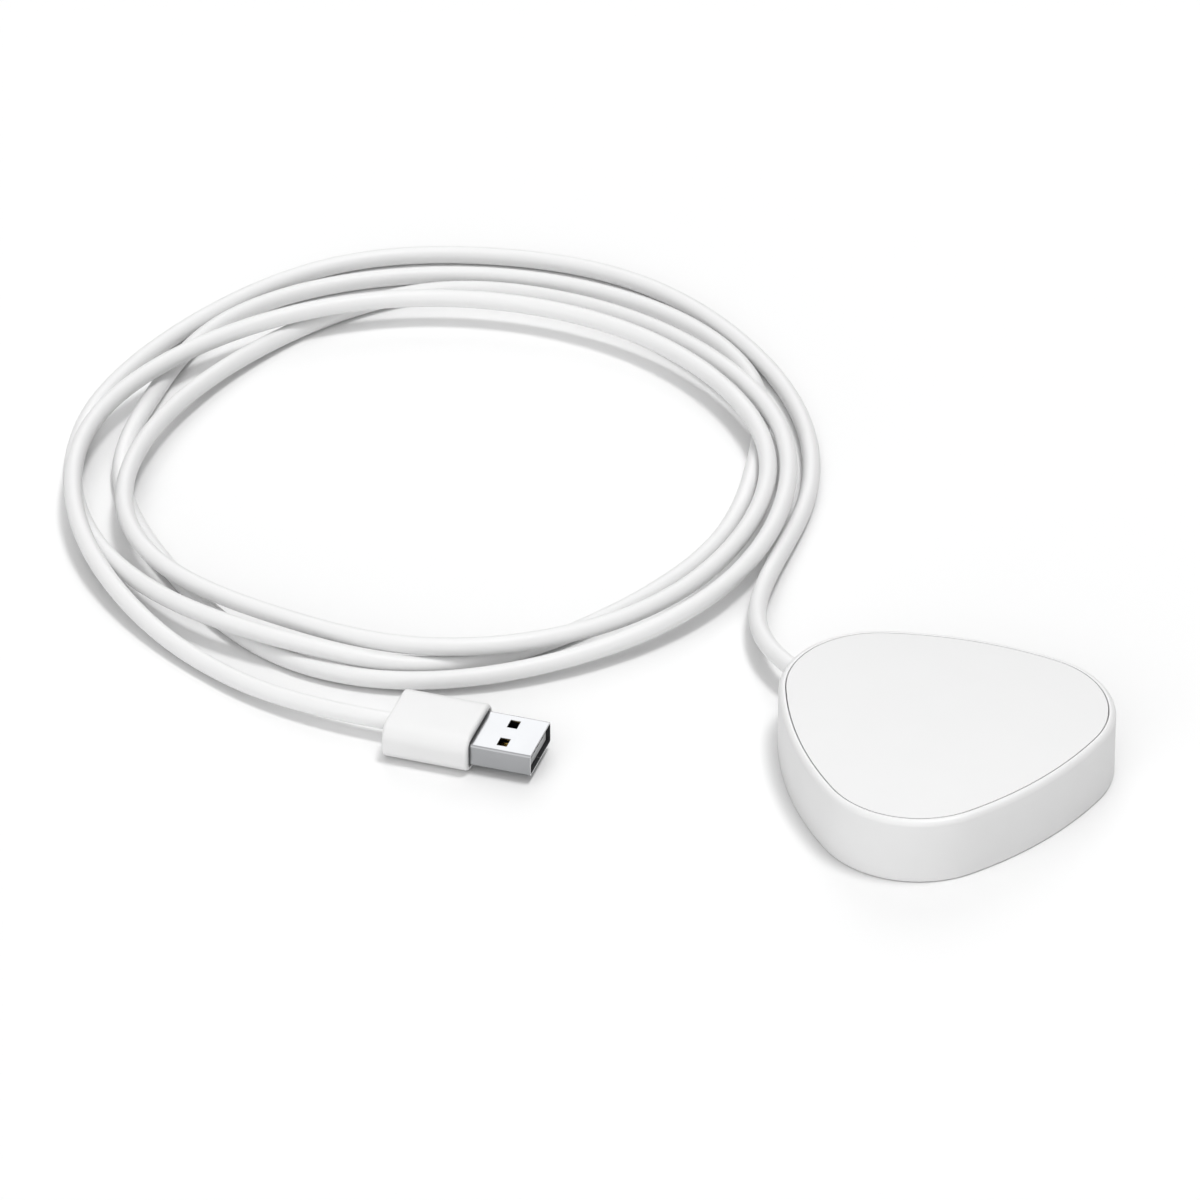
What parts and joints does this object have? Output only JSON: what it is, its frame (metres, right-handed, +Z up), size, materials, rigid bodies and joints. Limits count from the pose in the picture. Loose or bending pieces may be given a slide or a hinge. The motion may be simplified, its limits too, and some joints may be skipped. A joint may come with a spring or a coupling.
{
  "type": "wireless charging pad",
  "caption": "Low rounded-triangle wireless charging pad with an inset flat top plate and a captive round cord in loose loops, ending in a moulded USB-A plug.",
  "frame": {"origin": "middle of the pad's footprint, on the surface that the pad stands on (the cord and plug are not counted)", "axes": "+Z up out of the charging face; +Y towards the corner that the cord leaves; +X to the right when looking along +Y"},
  "size_m": [0.1562, 0.2384, 0.0134],
  "materials": {
    "housing_plastic": "white polycarbonate, fine satin moulding texture",
    "plate_plastic": "white matte soft-touch plastic",
    "base_plastic": "white moulded plastic",
    "foot_silicone": "white silicone",
    "screw_steel": "zinc-plated",
    "inner_plastic": "natural moulded plastic",
    "tongue_plastic": "pale grey moulded plastic",
    "grip_plastic": "white overmoulded elastomer, satin",
    "ferrite": "sintered ferrite",
    "copper_winding": "enamelled copper",
    "magnet_nickel": "nickel-plated magnet",
    "board_laminate": "green solder mask on glass laminate",
    "chip_resin": "moulded epoxy",
    "capacitor_ceramic": "fired ceramic",
    "can_steel": "drawn can",
    "cord_jacket": "white thermoplastic elastomer, satin",
    "wire_red": "red insulation",
    "wire_white": "white insulation",
    "wire_green": "green insulation",
    "wire_black": "black insulation",
    "shell_steel": "nickel-plated folded steel",
    "contact_gold": "gold-plated contact"
  },
  "bodies": {
    "root": {"housing": "housing_plastic", "top_plate": "plate_plastic", "base_cover": "base_plastic", "foot_pad": "foot_silicone", "base_screw_1": "screw_steel", "base_screw_2": "screw_steel", "base_screw_3": "screw_steel", "coil_carrier": "inner_plastic", "ferrite_shield": "ferrite", "charging_coil": "copper_winding", "magnet_1": "magnet_nickel", "magnet_2": "magnet_nickel", "magnet_3": "magnet_nickel", "coil_lead_1": "copper_winding", "coil_lead_2": "copper_winding", "circuit_board": "board_laminate", "controller_chip": "chip_resin", "driver_chip_1": "chip_resin", "driver_chip_2": "chip_resin", "power_inductor": "ferrite", "crystal": "can_steel", "thermistor": "chip_resin", "resonant_capacitor_1": "capacitor_ceramic", "resonant_capacitor_2": "capacitor_ceramic", "resonant_capacitor_3": "capacitor_ceramic", "resonant_capacitor_4": "capacitor_ceramic", "input_capacitor": "can_steel", "wire_socket": "inner_plastic", "board_screw_1": "screw_steel", "board_screw_2": "screw_steel", "cable_grommet": "cord_jacket", "cord_tail": "cord_jacket", "cable_clamp": "inner_plastic", "clamp_screw_1": "screw_steel", "clamp_screw_2": "screw_steel", "wire_power": "wire_red", "wire_data_minus": "wire_white", "wire_data_plus": "wire_green", "wire_ground": "wire_black", "plug_overmould": "grip_plastic", "plug_shell": "shell_steel", "plug_core": "inner_plastic", "plug_tongue": "tongue_plastic", "plug_contact_1": "contact_gold", "plug_contact_2": "contact_gold", "plug_contact_3": "contact_gold", "plug_contact_4": "contact_gold", "cord": "cord_jacket"}
  },
  "joints": []
}
